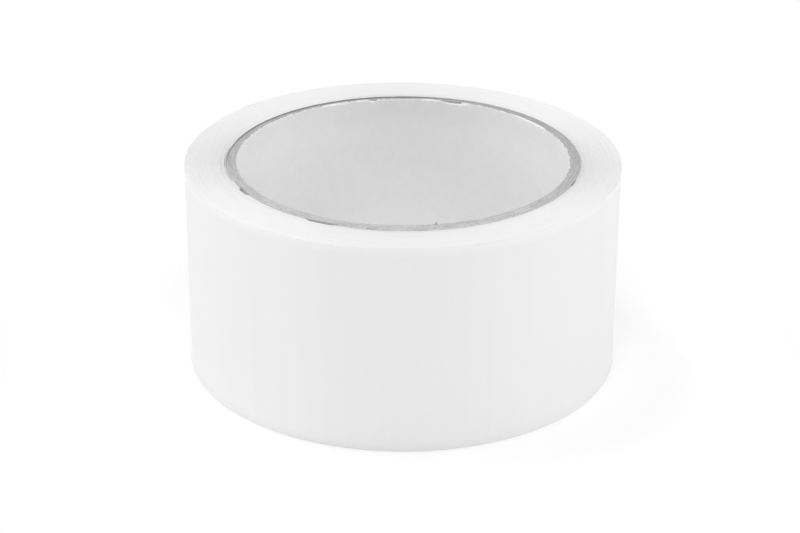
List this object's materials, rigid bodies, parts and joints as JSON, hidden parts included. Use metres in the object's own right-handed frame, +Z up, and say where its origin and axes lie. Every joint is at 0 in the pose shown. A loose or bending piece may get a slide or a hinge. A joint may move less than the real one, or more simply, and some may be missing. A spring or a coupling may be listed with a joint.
{
  "type": "roll of packing tape",
  "caption": "Roll of plain white film packing tape wound on a spiral-wound paper core, with a free end that peels away from the roll.",
  "frame": {"origin": "centre of the core's lower end, on the surface that the roll stands on", "axes": "+Z up along the roll's axis; the pictured side faces -Y, and the free end is at the back left"},
  "size_m": [0.1, 0.1, 0.049],
  "materials": {
    "liner_paper": "matt, slightly mottled",
    "core_board": "matt, fibrous cut edge",
    "tape_film": "smooth, soft sheen"
  },
  "bodies": {
    "roll": {"core_liner": "liner_paper", "core_ply_1": "core_board", "core_ply_2": "core_board", "core_ply_3": "core_board", "core_ply_4": "core_board", "core_wrap": "core_board", "tape_pack": "tape_film", "tape_outer_turn": "tape_film"},
    "free_end": {"tape_free_end": "tape_film"}
  },
  "joints": [
    {"name": "free_end_peel", "type": "hinge", "parent": "roll", "child": "free_end", "pos_m": [-0.01154, 0.04875, 0.0245], "axis": [0, 0, -1], "range_deg": [0, 170]}
  ]
}
